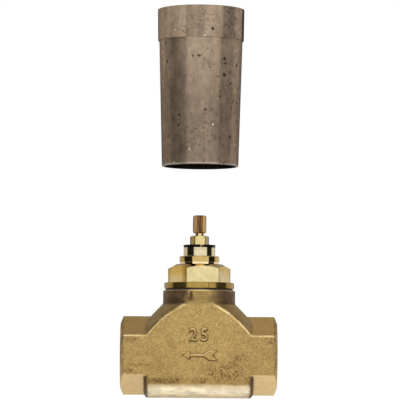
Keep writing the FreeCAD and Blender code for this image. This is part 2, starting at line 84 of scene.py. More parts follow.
# Heights on the body, the spindle and the sleeve, and half the foot's length, metres
NECK_Z = BODY_HIGH.z - 7.7 * MM
SHOULDER_Z = NECK_Z - 18.5 * MM
FOOT_CURVE = 10.0 * MM
FOOT_HALF = 30.5 * MM
SPLINE_Z = SPINDLE_HIGH.z - 10.15 * MM
RIM_Z = SLEEVE_HIGH.z - 18.0 * MM
FADE_Z = (SLEEVE_LOW.z + SLEEVE_HIGH.z) / 2 - 0.015

# Tops of the headpart's steps over the flange's underside, metres
FLANGE_TOP = 3.45 * MM
HEXAGON_TOP = 13.5 * MM
SEAM_TOP = 14.0 * MM
GROOVE_TOP = 15.2 * MM
LOWER_COLLAR_TOP = 18.6 * MM

# Turn of each hexagon's front flat
BONNET_HEX_TURN = math.radians(7.0)
SPINDLE_HEX_TURN = math.radians(3.5)

# Usual range of a noise pattern
NOISE_LOW, NOISE_HIGH = 0.3, 0.7

# Stains on the front: centre and reach, each along X and Z in metres
STAIN_SPOTS = (((0.0170, 0.0145), (0.0150, 0.0075)), ((-0.0385, 0.0335), (0.0055, 0.0026)),
               ((0.0410, 0.0325), (0.0045, 0.0034)), ((0.0235, 0.0225), (0.0060, 0.0030)),
               ((-0.0400, 0.0150), (0.0050, 0.0020)))

# Scratch on the front: its height, and from, to and softness along X, metres
SCRATCH_Z = 0.0185
SCRATCH_X = (-0.0405, -0.0265, 0.003)

# Scuffs and painted light and shade round the sleeve's rim: from and to in degrees of turn from the front,
# and their shade
RIM_SCUFFS_AND_LIGHT = ((-110, -79, 0.45), (-79, -52, 1.08), (-52, -20.5, 1.32), (-20.5, 6.7, 0.80),
              (30, 51, 0.72), (51, 70, 1.05), (71, 110, 0.12))

# Painted light and shade in bands round the sleeve's tube: from and to in degrees, and their shade under the
# rim and at the narrow end
TUBE_PAINTED_LIGHT = ((-84, -62, 1.16, 1.19), (-61, -50, 0.66, 0.92), (-50, -37, 0.90, 0.90),
                (11, 33, 0.86, 0.88), (33, 48, 1.40, 1.36), (52, 82, 0.78, 1.09))

# Small flecks: share of the large ones' spacing and radius, and seed
SMALL_FLECKS = ((0.62, 1.0), (0.45, 3.0))

# Thread ridge's width at its root and crest, as shares of the pitch
RIDGE_ROOT = 0.86
RIDGE_CREST = 0.20

# Raised marks: capitals as a share of the font size, and the arrow's upper corners in halves of its length
CAPITAL_HEIGHT = 0.7
FIGURE_SPACING = 1.25
ARROW_X = 0.0006
ARROW_CORNERS = ((-0.62, 0.19), (-0.66, 0.055), (0.24, 0.055), (0.55, 0.27), (1.0, 0.27))

# Studio in degrees: heights over the horizon and turns from the view, with the softness of both ends
SOFTBOX_RISE = (28, 63, 9)
WALL_TOP_RISE = (10, 34)
OVERHEAD_RISE = (62, 75)
BACKDROP_RISE = (-12, 14, 6)
FRONT_TURN = (-99, 101, 11)
BEHIND_TURN = (150, 162)
BACKDROP_TURN = (166, 174)
PANEL_SOFTNESS = 6

IMAGE_PIXELS = 400
SENSOR_WIDTH = 36.0


def tint(name, description, default):
    return FloatVectorProperty(name=name, description=description, subtype="COLOR", size=3, min=0, max=1,
                               default=default)


def number(name, description, default, **limits):
    return FloatProperty(name=name, description=description, default=default, **limits)


def length(name, description, default):
    return number(name, description, default, subtype="DISTANCE", unit="LENGTH")


def angle(name, description, turn):
    """Property for an angle, with its default in degrees."""
    return number(name, description, math.radians(turn), subtype="ANGLE", unit="ROTATION")


# Settings

class ForgingSettings(PropertyGroup):
    """Sand-blasted forged brass of the body."""
    colour: tint("Colour", "Clean blasted brass", (0.425, 0.29, 0.108))
    stain_colour: tint("Stain", "Darkened skin and stains", (0.17, 0.095, 0.034))
    # Oxide together with painted shade in corners, on the foot's ends and on the marks' downward faces.
    dirt_and_shade_colour: tint("Dirt", "Oxide in the corners", (0.075, 0.036, 0.014))
    # Burnished lower flats, lightened as painted reflection of the bright floor.
    burnished_floor_lit_colour: tint("Burnished brass", "Rubbed lower flats", (0.64, 0.467, 0.228))
    # Painted highlight: the curve under the foot stands for the bright floor's reflection.
    belly_highlight_colour: tint("Belly", "Rubbed curve under the foot", (0.93, 0.81, 0.57))
    # Dark skin on the neck's sides, partly painted reflection of the dark studio sides.
    patina_and_reflection_colour: tint("Patina", "Dark sides of the neck", (0.15, 0.09, 0.048))
    # Worn edges, also standing as painted highlights along them and on the marks' upward faces.
    edge_wear_highlight_colour: tint("Edges", "Worn edges", (0.86, 0.69, 0.40))
    cut_colour: tint("Cut faces", "Machined ports and threads", (0.68, 0.52, 0.24))
    grain: length("Grain", "Size of the blasted grain", 0.0008)
    relief: length("Grain relief", "Depth of the blasted grain", 0.00014)
    # Reach of the edge wear and of the painted edge highlights.
    edge_width: length("Edge wear", "Reach of the wear from an edge", 0.0022)
    # Reach of the oxide and painted shade from a corner.
    corner_shade_reach: length("Dirt reach", "Reach of the oxide from a corner", 0.0022)


class TurnedBrassSettings(PropertyGroup):
    """Bright turned brass of the headpart, tarnished a little differently from step to step, with painted
    shade on the hexagon's top chamfer, side facets and corners.
    """
    flange: tint("Flange", "Flange under the hexagon", (0.334, 0.223, 0.058))
    hexagon: tint("Hexagon", "Spanner hexagon", (0.66, 0.55, 0.283))
    # Painted shade: a dark band on the hexagon's top chamfer.
    seam: tint("Seam", "Dull ring on top of the hexagon", (0.20, 0.13, 0.05))
    groove: tint("Groove", "Relief groove over the hexagon", (0.85, 0.68, 0.40))
    lower_collar: tint("Lower collar", "Wide collar", (0.523, 0.372, 0.128))
    upper_collar: tint("Upper collar", "Narrow collar", (0.62, 0.535, 0.336))
    # Painted shade on the hexagon's side facets, stronger low down.
    facet_shade: tint("Facet tarnish", "Tint of the hexagon's tarnished sides", (0.88, 0.73, 0.36))
    # Painted shade beside the hexagon's front corner on the left.
    facet_dusk_shade: tint("Facet dusk", "Tint beside the front corner on the left", (0.74, 0.62, 0.38))
    stem: tint("Spindle", "Spindle's hexagon and stem", (0.64, 0.52, 0.244))
    crest: tint("Spline crest", "Rubbed crests of the serrated end", (0.50, 0.40, 0.20))
    valley: tint("Spline valley", "Coppery valleys of the serrated end", (0.30, 0.122, 0.038))
    # Painted shade on the spindle hexagon's sides.
    spindle_side_shade: tint("Spindle's sides", "Tint of its hexagon's sides", (0.51, 0.465, 0.32))
    # Reach of the painted dark reflection on both sides of a hexagon's corner.
    corner_shade_turn: angle("Edge line", "Reach of the tarnish on both sides of a hexagon's corner", 5.0)
    roughness: number("Roughness", "Gloss of the turned faces", 0.06, min=0, max=1)


class SleeveSettings(PropertyGroup):
    """Speckled pearly plastic of the plaster sleeve."""
    colour: tint("Colour", "Plastic at the wide end", (0.42, 0.316, 0.225))
    # Painted shade: the plastic darkens towards the narrow end, where less light reaches.
    narrow_end_shade_colour: tint("Low colour", "Plastic at the narrow end", (0.27, 0.20, 0.143))
    # Painted highlight on the narrow end's cut edge.
    lip_highlight_colour: tint("Lip", "Cut edge of the narrow end", (0.415, 0.355, 0.285))
    dark_fleck: tint("Dark fleck", "Dark grains in the plastic", (0.035, 0.022, 0.015))
    pale_fleck: tint("Pale fleck", "Pale grains in the plastic", (0.95, 0.90, 0.80))
    pearl: number("Pearl", "Share of metal pigment", 0.60, min=0, max=1)
    unevenness: length("Unevenness", "Depth of the moulded skin's slow waves", 0.00012)
    fleck_spacing: length("Fleck spacing", "Mean distance between large flecks", 0.0036)
    fleck_radius: length("Fleck radius", "Radius of the largest flecks", 0.00125)


class MarkSettings(PropertyGroup):
    """Raised nominal size and flow arrow on the front."""
    text: StringProperty(name="Nominal size", description="Raised figures on the front", default="25")
    text_height: length("Figure height", "Height of the figures", 0.0070)
    text_rise: length("Figure centre", "Height of their centre over the pipe axis", 0.0112)
    arrow_length: length("Arrow length", "Flow arrow, tip to tail", 0.0188)
    relief: length("Relief", "Height of the marks over the face", 0.0010)
    rounding: length("Rounding", "Slope of the marks' sides", 0.0006)


class ThreadSettings(PropertyGroup):
    """Parallel pipe thread in both sockets."""
    pitch: length("Pitch", "Eleven threads to the inch", 0.002309)
    depth: length("Depth", "Height of a thread ridge", 0.001479)
    steps: IntProperty(name="Steps", description="Straight steps in one turn", min=12, default=96)


class StudioSettings(PropertyGroup):
    """Camera, floor and light."""
    focal_pixels: number("Focal length in pixels", "For an image 400 pixels wide", 2905.0, min=100)
    distance: length("Camera distance", "From the spindle's axis", 1.6547)
    camera_height: length("Camera height", "Over the floor", 0.0035)
    camera_side: length("Camera side step", "Along +X", 0.0001)
    horizon_pixel: number("Horizon", "Image row of the horizon", 392.0)
    roll: angle("Roll", "Lean of the image, clockwise", 0.42)
    panel_left: angle("Panel's left edge", "Turn from the view towards the left", 41.0)
    panel_right: angle("Panel's right edge", "Turn from the view towards the right", 56.0)
    panel_light: number("Panel", "Radiance of the white front panel", 1.25)
    softbox_light: number("Softbox", "Radiance of the softbox over the panel", 2.0)
    side_light: number("Side flags", "Radiance of the dark sides", 0.02)
    left_wall: tint("Left wall", "Warm wall behind on the left", (0.777, 0.715, 0.65))
    right_wall: tint("Right wall", "Pale wall behind on the right", (0.945, 0.886, 0.85))
    behind_light: number("Behind", "Radiance straight behind", 0.16)
    ceiling_colour: tint("Ceiling", "Overhead and high behind", (0.55, 0.51, 0.46))
    floor_light: number("Floor", "White of the floor, as seen and in reflections", 1.36)


class StopValveSettings(PropertyGroup):
    """Everything that can be changed on the stop valve."""
    forging: PointerProperty(type=ForgingSettings)
    turned: PointerProperty(type=TurnedBrassSettings)
    sleeve: PointerProperty(type=SleeveSettings)
    marks: PointerProperty(type=MarkSettings)
    thread: PointerProperty(type=ThreadSettings)
    studio: PointerProperty(type=StudioSettings)


# Node helpers

def add(tree, kind, inputs=None, **settings):
    """New node with its settings and inputs. An input is a socket to link, a value or a colour."""
    node = tree.nodes.new(kind)
    for name, value in settings.items():
        setattr(node, name, value)
    for key, value in (inputs or {}).items():
        if isinstance(value, bpy.types.NodeSocket):
            tree.links.new(value, node.inputs[key])
        else:
            node.inputs[key].default_value = rgba(value) if isinstance(value, Color) else value
    return node


def maths(tree, operation, first, second=0.0):
    return add(tree, "ShaderNodeMath", {0: first, 1: second}, operation=operation).outputs[0]


def product(tree, *values):
    return reduce(partial(maths, tree, "MULTIPLY"), values)


def largest(tree, *values):
    return reduce(partial(maths, tree, "MAXIMUM"), values)


def total(tree, first, second):
    return maths(tree, "ADD", first, second)


def minus(tree, first, second):
    return maths(tree, "SUBTRACT", first, second)


def magnitude(tree, value):
    return maths(tree, "ABSOLUTE", value)


def opposite(tree, share):
    return minus(tree, 1.0, share)


def vector_maths(tree, operation, first, second):
    return add(tree, "ShaderNodeVectorMath", {0: first, 1: second}, operation=operation).outputs[0]


def degrees(*angles):
    """Angles in degrees turned into radians."""
    return [math.radians(angle) for angle in angles]


def eased(tree, value, low, high, bottom=0.0, top=1.0):
    """Value eased from bottom to top between low and high."""
    return add(tree, "ShaderNodeMapRange",
               {"Value": value, "From Min": low, "From Max": high, "To Min": bottom, "To Max": top},
               interpolation_type="SMOOTHSTEP").outputs["Result"]


def falling(tree, value, low, high):
    """One up to low, eased down to nought at high."""
    return eased(tree, value, low, high, 1.0, 0.0)


def varied(tree, pattern, bottom, top):
    """Number that follows a noise pattern from bottom to top."""
    return eased(tree, pattern, NOISE_LOW, NOISE_HIGH, bottom, top)


def band(tree, value, low, high, softness):
    """One between low and high, nought outside, eased over the softness at both ends."""
    half = softness / 2
    rising = eased(tree, value, low - half, low + half)
    return product(tree, rising, falling(tree, value, high - half, high + half))


def noise(tree, vector, size, detail=2.0, roughness=0.5):
    """Noise whose features have that size in metres."""
    return add(tree, "ShaderNodeTexNoise",
               {"Vector": vector, "Scale": 1 / size, "Detail": detail, "Roughness": roughness}).outputs["Fac"]


def stretched(tree, place, factors):
    return vector_maths(tree, "MULTIPLY", place, factors)


def mixed(tree, share, first, second, blend_type="MIX"):
    """Colour between two colours."""
    node = add(tree, "ShaderNodeMix", {"Factor": share, 6: first, 7: second}, data_type="RGBA",
               blend_type=blend_type)
    return node.outputs[2]


def shaded(tree, colour, *shades):
    """Colour times numbers or colours."""
    for shade in shades:
        colour = mixed(tree, 1.0, colour, shade, "MULTIPLY")
    return colour


def blended(tree, share, first, second):
    """Number between two numbers."""
    return add(tree, "ShaderNodeMix", {"Factor": share, 2: first, 3: second}, data_type="FLOAT").outputs[0]


def bumped(tree, height, distance, strength=1.0, normal=None):
    inputs = {"Height": height, "Distance": distance, "Strength": strength}
    if normal is not None:
        inputs["Normal"] = normal
    return add(tree, "ShaderNodeBump", inputs).outputs["Normal"]


def rgba(colour):
    return (*colour, 1.0)


def grey(level):
    return (level, level, level, 1.0)


def split(tree, vector):
    return add(tree, "ShaderNodeSeparateXYZ", {"Vector": vector}).outputs


def distance_from_axis(tree, first, second):
    return maths(tree, "SQRT", total(tree, product(tree, first, first), product(tree, second, second)))


def turn_round_axis(tree, x, y):
    """Turn round the upright axis from the front, more towards the right."""
    return maths(tree, "ARCTAN2", x, product(tree, y, -1.0))


def empty_tree(owner):
    """Node tree of a material or world, cleared."""
    owner.use_nodes = True
    owner.node_tree.nodes.clear()
    return owner.node_tree


def new_material(name):
    """Empty material: itself, its tree, object coordinates, object normal and surface shader."""
    material = bpy.data.materials.new(name)
    tree = empty_tree(material)
    coordinates = add(tree, "ShaderNodeTexCoord").outputs
    surface = add(tree, "ShaderNodeBsdfPrincipled")
    add(tree, "ShaderNodeOutputMaterial", {"Surface": surface.outputs["BSDF"]})
    return material, tree, coordinates["Object"], coordinates["Normal"], surface


def set_shader(tree, surface, **inputs):
    """Links or sets inputs of the surface shader. Underscores in the names stand for spaces."""
    for name, value in inputs.items():
        socket = surface.inputs[name.replace("_", " ")]
        if isinstance(value, bpy.types.NodeSocket):
            tree.links.new(value, socket)
        else:
            socket.default_value = value


def flecks(tree, place, spacing, radius, rarity, seed):
    """Scattered ragged flecks up to that radius. Rarity is the share of Voronoi cells that stay empty."""
    ragged = add(tree, "ShaderNodeTexNoise", {"Vector": place, "Scale": 0.8 / radius, "Detail": 2.0})
    ragged = stretched(tree, ragged.outputs["Color"], (radius, radius, radius))
    shifted = vector_maths(tree, "ADD", place, (seed * 0.37, seed * 0.53, seed * 0.71))
    shifted = vector_maths(tree, "ADD", shifted, ragged)
    cells = add(tree, "ShaderNodeTexVoronoi", {"Vector": shifted, "Scale": 1 / spacing, "Randomness": 1.0})
    pick = split(tree, cells.outputs["Color"])[0]
    size = eased(tree, pick, rarity, 1.0, 0.0, radius / spacing)
    depth = minus(tree, size, cells.outputs["Distance"])
    strength = eased(tree, split(tree, cells.outputs["Color"])[1], 0.0, 0.8, 0.35, 1.0)
    return product(tree, eased(tree, depth, 0.0, radius / spacing * 0.45), strength)


# Forged brass

def spot(tree, x, z, centre, reach, wobble):
    """Soft ragged spot on the front face. Centre and reach are pairs along X and Z in metres."""
    across = maths(tree, "DIVIDE", minus(tree, x, centre[0]), reach[0])
    up = maths(tree, "DIVIDE", minus(tree, z, centre[1]), reach[1])
    ragged = total(tree, distance_from_axis(tree, across, up), wobble)
    return falling(tree, ragged, 0.45, 1.1)


def blasted_skin(tree, place, settings):
    """Colour and height of the blasted skin: grain, mottling and cloudy stains."""
    grain = noise(tree, place, settings.grain, 4.0, 0.7)
    mottle = noise(tree, place, settings.grain * 2.6, 3.0, 0.6)
    clouds = noise(tree, place, 0.012, 4.0, 0.6)
    colour = mixed(tree, eased(tree, clouds, 0.45, 0.75, 0.0, 0.14), settings.colour,
                   settings.stain_colour)
    colour = shaded(tree, colour, eased(tree, grain, 0.32, 0.68, 0.75, 1.22),
                    eased(tree, mottle, 0.32, 0.68, 0.91, 1.09))
    height = total(tree, grain, product(tree, mottle, 1.2))
    return colour, height, clouds


def rounded_normal(tree, radius):
    """Normal with edges rounded off to that radius, for shading and as object coordinates."""
    rounded = add(tree, "ShaderNodeBevel", {"Radius": radius}, samples=8).outputs["Normal"]
    turned = add(tree, "ShaderNodeVectorTransform", {"Vector": rounded}, vector_type="NORMAL",
                 convert_from="WORLD", convert_to="OBJECT")
    return rounded, turned.outputs["Vector"]


def corner_dirt_and_shade(tree, reach):
    """Share of oxide and painted shade: nought in the open, one deep in a corner."""
    openness = add(tree, "ShaderNodeAmbientOcclusion", {"Distance": reach}, samples=8).outputs["AO"]
    return falling(tree, openness, 0.50, 0.86)


def neck_patina_and_reflection(tree, x, wobble):
    """Share of dark skin on the neck, partly painted reflection of the dark studio sides: a ragged edge on
    the left, a slow change on the right.
    """
    across = total(tree, x, product(tree, wobble, 0.014))
    left = falling(tree, across, -0.0100, -0.0040)
    return largest(tree, left, eased(tree, across, 0.0050, 0.0145))


def front_stains(tree, place, x, z, wobble):
    """Share of stain on the front: speckled patches, the foot's speckled upper edge and a scratch."""
    stained = largest(tree, *(spot(tree, x, z, centre, reach, wobble) for centre, reach in STAIN_SPOTS))
    speckle = eased(tree, noise(tree, place, 0.0014), 0.51, 0.60)
    specks = largest(tree, speckle, flecks(tree, place, 0.0019, 0.0010, 0.10, 4.0))
    patchy = eased(tree, noise(tree, place, 0.0060), 0.40, 0.58, 0.30, 1.0)
    foot_line = product(tree, band(tree, z, FOOT_CURVE - 0.0020, FOOT_CURVE + 0.0014, 0.0026),
                        band(tree, x, -0.0285, 0.0285, 0.004))
    foot_line = product(tree, foot_line, patchy, blended(tree, specks, 0.40, 1.0))
    scratch_z = total(tree, minus(tree, z, SCRATCH_Z), product(tree, wobble, 0.0040))
    scratch = product(tree, band(tree, scratch_z, -0.0003, 0.0003, 0.0005), band(tree, x, *SCRATCH_X))
    patches = product(tree, stained, blended(tree, specks, 0.16, 0.85))
    return largest(tree, patches, foot_line, product(tree, scratch, 0.45))


def neck_dent(tree, x, z, wobble):
    """Share of a dark dent in the neck's front, with a smaller one beside it."""
    across = total(tree, x, product(tree, wobble, 0.0040))
    dent = product(tree, band(tree, across, -0.0053, -0.0034, 0.0008),
                   band(tree, z, BODY_HIGH.z - 0.0062, BODY_HIGH.z - 0.0008, 0.002))
    beside = product(tree, band(tree, across, -0.0084, -0.0056, 0.0014),
                     band(tree, z, BODY_HIGH.z - 0.0056, BODY_HIGH.z - 0.0034, 0.0014))
    return largest(tree, dent, product(tree, beside, 0.75))


def forged_brass(settings):
    """Blasted forging: dark neck partly painted reflection, burnished underside lightened as painted floor
    reflection, worn edges with painted highlights, oxide and painted shade in corners, painted light from the
    right, and bright cut ports.
    """
    material, tree, place, normal, surface = new_material("forged_brass")
    x, y, z = split(tree, place)
    normal_x, normal_y, normal_z = split(tree, normal)
    side = magnitude(tree, x)
    neck = eased(tree, z, NECK_Z - 0.0012, NECK_Z + 0.0006)
    flat = product(tree, eased(tree, magnitude(tree, normal_y), 0.93, 0.985), opposite(tree, neck))
    front = falling(tree, normal_y, -0.985, -0.93)
    colour, height, clouds = blasted_skin(tree, place, settings)
    uneven = noise(tree, place, 0.0035, 3.0, 0.6)
    wobble = minus(tree, uneven, 0.5)

    # Painted light from the right: the smooth faces grow lighter towards +X.
    smooth_colour = shaded(tree, settings.colour, varied(tree, clouds, 1.10, 1.28),
                           varied(tree, noise(tree, place, 0.0012, 3.0, 0.55), 0.92, 1.08),
                           eased(tree, x, 0.0, 0.030, 1.0, 1.12))
    # The front flats are a little lighter in the middle than towards the sockets' ends.
    lighter_middle = eased(tree, side, 0.014, 0.030, 1.06, 0.98)
    colour = mixed(tree, flat, smooth_colour, shaded(tree, colour, lighter_middle))
    # Underside: burnished brass lightened as painted floor reflection; under the foot a painted highlight,
    # brightest where it faces the floor in front and tinted where it faces straight down.
    on_foot = falling(tree, side, FOOT_HALF - 0.0015, FOOT_HALF - 0.0005)
    underside = falling(tree, normal_z, -0.50, -0.16)
    lumps = noise(tree, stretched(tree, place, (0.35, 1.0, 1.0)), 0.0028)
    belly = shaded(tree, settings.belly_highlight_colour, eased(tree, normal_z, -0.95, -0.52, 0.66, 1.05),
                   eased(tree, lumps, 0.35, 0.65, 0.80, 1.12))
    floor_reflection_tint = falling(tree, normal_z, -0.94, -0.72)
    belly = mixed(tree, floor_reflection_tint, belly, shaded(tree, belly, (1.0, 0.90, 0.80, 1.0)))
    # Painted light from the right: the lower flats grow lighter towards +X.
    socket = shaded(tree, settings.burnished_floor_lit_colour, eased(tree, x, 0.0, 0.030, 1.0, 1.10))
    rubbed = shaded(tree, mixed(tree, on_foot, socket, belly), varied(tree, uneven, 0.93, 1.06))
    colour = mixed(tree, underside, colour, rubbed)

    # Dark skin on the neck's sides, partly painted reflection of the dark studio sides, lighter towards the
    # top.
    dark_neck = product(tree, neck, neck_patina_and_reflection(tree, x, wobble))
    shoulder = product(tree, eased(tree, z, SHOULDER_Z, SHOULDER_Z + 0.004),
                       band(tree, normal_z, 0.30, 0.80, 0.1), opposite(tree, flat))
    rings = noise(tree, stretched(tree, place, (0.12, 0.12, 1.0)), 0.0010)
    colour = shaded(tree, colour, blended(tree, neck, 1.0, varied(tree, rings, 0.52, 0.74)),
                    blended(tree, shoulder, 1.0, varied(tree, uneven, 0.58, 0.82)))
    patina_and_reflection = shaded(tree, settings.patina_and_reflection_colour, varied(tree, uneven, 0.75, 1.25),
                    eased(tree, z, NECK_Z, BODY_HIGH.z, 0.85, 1.22))
    colour = mixed(tree, dark_neck, colour, patina_and_reflection)
    stains = product(tree, front_stains(tree, place, x, z, wobble), front)
    colour = mixed(tree, stains, colour, settings.stain_colour)

    # Edges: wear and painted highlights where a rounded edge would face the softbox; a painted highlight on
    # the neck's top chamfer.
    rounded, rounded_place = rounded_normal(tree, settings.edge_width)
    rounded_facing = magnitude(tree, split(tree, rounded_place)[1])
    upper_edge = product(tree, band(tree, rounded_facing, 0.71, 0.968, 0.05), opposite(tree, underside),
                         opposite(tree, neck))
    lower_edge = product(tree, band(tree, rounded_facing, 0.80, 0.93, 0.07), underside,
                         opposite(tree, on_foot))
    broken = product(tree, eased(tree, uneven, 0.36, 0.60, 0.20, 1.0),
                     eased(tree, noise(tree, place, 0.0075), 0.38, 0.60, 0.40, 1.0))
    edge = product(tree, total(tree, upper_edge, lower_edge), broken)
    neck_lip_highlight = eased(tree, z, BODY_HIGH.z - 0.0008, BODY_HIGH.z - 0.0005)
    edge = largest(tree, edge, product(tree, neck_lip_highlight, 0.8))
    colour = mixed(tree, product(tree, edge, 0.56), colour, settings.edge_wear_highlight_colour)

    # Oxide with painted shade in corners, a painted shadow on the foot's ends, a dark ring at the sockets'
    # ends and dents in the neck.
    dirt_and_shade = product(tree, corner_dirt_and_shade(tree, settings.corner_shade_reach), eased(tree, z, 0.0025, 0.0040))
    ragged_side = total(tree, side, product(tree, wobble, 0.0026))
    foot_end_shade = product(tree, eased(tree, ragged_side, FOOT_HALF - 0.0030, FOOT_HALF - 0.0008),
                       falling(tree, side, FOOT_HALF + 0.0002, FOOT_HALF + 0.0008),
                       falling(tree, z, FOOT_CURVE + 0.0015, FOOT_CURVE + 0.0035),
                       eased(tree, magnitude(tree, normal_x), 0.96, 0.998, 1.0, 0.3))
    end_ring = product(tree, eased(tree, side, PORT_MOUTH_X - 0.0014, PORT_MOUTH_X - 0.0008),
                       eased(tree, uneven, 0.40, 0.58, 0.25, 0.75), opposite(tree, underside))
    dent = product(tree, neck_dent(tree, x, z, wobble), front)
    dirt_and_shade = largest(tree, dirt_and_shade, foot_end_shade, product(tree, end_ring, 0.6), dent)
    colour = mixed(tree, product(tree, dirt_and_shade, 0.9), colour, settings.dirt_and_shade_colour)

    radius = distance_from_axis(tree, y, minus(tree, z, PIPE_AXIS_Z))
    inside = product(tree, falling(tree, radius, PORT_RADIUS + 0.0013, PORT_RADIUS + 0.0015),
                     eased(tree, side, PORT_MOUTH_X - PORT_LENGTH - 0.001, PORT_MOUTH_X - PORT_LENGTH))
    colour = mixed(tree, inside, colour, settings.cut_colour)

    roughness = varied(tree, clouds, 0.42, 0.50)
    roughness = blended(tree, largest(tree, product(tree, edge, 0.6), underside), roughness, 0.34)
    roughness = blended(tree, largest(tree, dark_neck, foot_end_shade), roughness, 0.55)
    roughness = blended(tree, inside, roughness, 0.22)
    strength = product(tree, blended(tree, flat, 0.15, 0.9), opposite(tree, inside))
    waves = bumped(tree, uneven, 0.0004, 0.35, rounded)
    bump = bumped(tree, height, settings.relief, strength, waves)
    set_shader(tree, surface, Base_Color=colour, Roughness=roughness, Metallic=1.0, Normal=bump)
    return material


def raised_brass(settings):
    """Blasted brass of the raised marks: painted highlight on faces turned up and left, painted shade on
    faces turned down and right.
    """
    material, tree, place, normal, surface = new_material("raised_brass")
    facing = split(tree, normal)
    colour, height, clouds = blasted_skin(tree, place, settings)
    # Painted light and shade on the marks: faces turned up and left take the bright edge colour, faces turned
    # down and right the dark colour.
    light_lean = minus(tree, facing["Z"], product(tree, facing["X"], 0.25))
    colour = mixed(tree, eased(tree, light_lean, 0.12, 0.65), colour, settings.edge_wear_highlight_colour)
    colour = mixed(tree, eased(tree, light_lean, -0.65, -0.12, 0.9, 0.0), colour, settings.dirt_and_shade_colour)
    bump = bumped(tree, height, settings.relief, 0.6)
    roughness = varied(tree, clouds, 0.38, 0.46)
    set_shader(tree, surface, Base_Color=colour, Roughness=roughness, Metallic=1.0, Normal=bump)
    return material


# Turned brass

def coloured_steps(tree, height, steps, softness):
    """Colour that changes along a height. Steps are (bottom, colour), from the lowest up."""
    colour = steps[0][1]
    for bottom, step_colour in steps[1:]:
        share = eased(tree, height, bottom - softness / 2, bottom + softness / 2)
        colour = mixed(tree, share, colour, step_colour)
    return colour


def hexagon_corners(tree, turn, hexagon_turn, reach):
    """Share of a hexagon's corner, nought past that reach. The hexagon's turn is that of a flat."""
    within = maths(tree, "FLOORED_MODULO", minus(tree, turn, hexagon_turn), math.radians(60))
    off_corner = magnitude(tree, minus(tree, within, math.radians(30)))
    return falling(tree, off_corner, reach * 0.4, reach)


def turned_brass(settings):
    """Bright brass with fine turning rings, each step of the headpart with its own tarnish, and painted shade
    on the hexagon's top chamfer, side facets and corners.
    """
    material, tree, place, normal, surface = new_material("turned_brass")
    x, y, z = split(tree, place)
    normal_y = split(tree, normal)[1]
    height = minus(tree, z, FLANGE_BOTTOM_Z)
    steps = [(0.0, settings.flange), (FLANGE_TOP, settings.hexagon), (HEXAGON_TOP, settings.seam),
             (SEAM_TOP, settings.groove), (GROOVE_TOP, settings.lower_collar),
             (LOWER_COLLAR_TOP, settings.upper_collar)]
    tarnish = noise(tree, place, 0.006, 3.0, 0.6)
    fine = noise(tree, place, 0.0012)
    colour = shaded(tree, coloured_steps(tree, height, steps, 0.1 * MM), varied(tree, tarnish, 1.08, 0.86),
                    varied(tree, fine, 0.96, 1.04))
    nick = product(tree, band(tree, x, 0.0051, 0.0055, 0.0003), falling(tree, y, -0.002, 0.0))
    on_flange = falling(tree, height, 3.3 * MM, 3.5 * MM)
    colour = shaded(tree, colour, blended(tree, product(tree, nick, on_flange), 1.0, 0.35))
    # Painted shade on the hexagon's side facets: stronger low down, darker left of the front corner, darkest
    # along the corners as a painted dark reflection, lighter on the left and darker on the right.
    side_facet = product(tree, band(tree, height, FLANGE_TOP, SEAM_TOP, 0.2 * MM),
                         falling(tree, magnitude(tree, normal_y), 0.60, 0.80))
    cloudy = product(tree, minus(tree, noise(tree, place, 0.0040, 3.0, 0.6), 0.5), 0.016)
    faded = falling(tree, total(tree, height, cloudy), 3.0 * MM, 12.5 * MM)
    facet_shading = mixed(tree, faded, settings.facet_shade, grey(1.0))
    turn = turn_round_axis(tree, x, y)
    corners = hexagon_corners(tree, turn, BONNET_HEX_TURN, settings.corner_shade_turn * 1.6)
    dusk = band(tree, turn, *degrees(-37, 0, 12))
    facet_shading = mixed(tree, dusk, facet_shading, shaded(tree, facet_shading, settings.facet_dusk_shade))
    facet_shading = shaded(tree, facet_shading, blended(tree, corners, 1.0, 0.72),
                    eased(tree, x, -0.005, 0.005, 1.13, 0.93))
    colour = mixed(tree, side_facet, colour, shaded(tree, colour, facet_shading))
    roughness = total(tree, blended(tree, on_flange, settings.roughness, settings.roughness + 0.09),
                      varied(tree, tarnish, 0.0, 0.03))
    scratches = noise(tree, stretched(tree, place, (1.0, 1.0, 6.0)), 0.0020)
    set_shader(tree, surface, Base_Color=colour, Roughness=roughness, Metallic=1.0,
               Normal=bumped(tree, scratches, 0.000004, 0.3))
    return material


def spindle_brass(settings):
    """Turned brass whose serrated end is rubbed on its crests and coppery in its valleys, with painted shade
    on its hexagon's sides and corners.
    """
    material, tree, place, normal, surface = new_material("spindle_brass")
    x, y, z = split(tree, place)
    tarnish = noise(tree, place, 0.0025, 3.0, 0.6)
    on_spline = eased(tree, z, SPLINE_Z - 0.0002, SPLINE_Z + 0.0002)
    streaks = noise(tree, stretched(tree, place, (1.0, 1.0, 0.10)), 0.0012)
    crest = eased(tree, distance_from_axis(tree, x, y), 0.00345, 0.00375)
    serrated = mixed(tree, crest, settings.valley, settings.crest)
    serrated = shaded(tree, serrated, varied(tree, streaks, 0.55, 1.30))
    clean = shaded(tree, settings.stem, eased(tree, tarnish, 0.35, 0.75, 1.04, 0.88))
    # Painted shade on the hexagon's side facets, darkest along its corners as a painted dark reflection.
    facing = magnitude(tree, split(tree, normal)[1])
    corners = hexagon_corners(tree, turn_round_axis(tree, x, y), SPINDLE_HEX_TURN, settings.corner_shade_turn * 3)
    sides = shaded(tree, clean, settings.spindle_side_shade, blended(tree, corners, 1.15, 0.30))
    clean = mixed(tree, eased(tree, facing, 0.60, 0.90), sides, clean)
    colour = mixed(tree, on_spline, clean, serrated)
    roughness = blended(tree, on_spline, settings.roughness, 0.34)
    set_shader(tree, surface, Base_Color=colour, Roughness=roughness, Metallic=1.0,
               Normal=bumped(tree, tarnish, 0.00001, 0.4))
    return material


# Other finishes

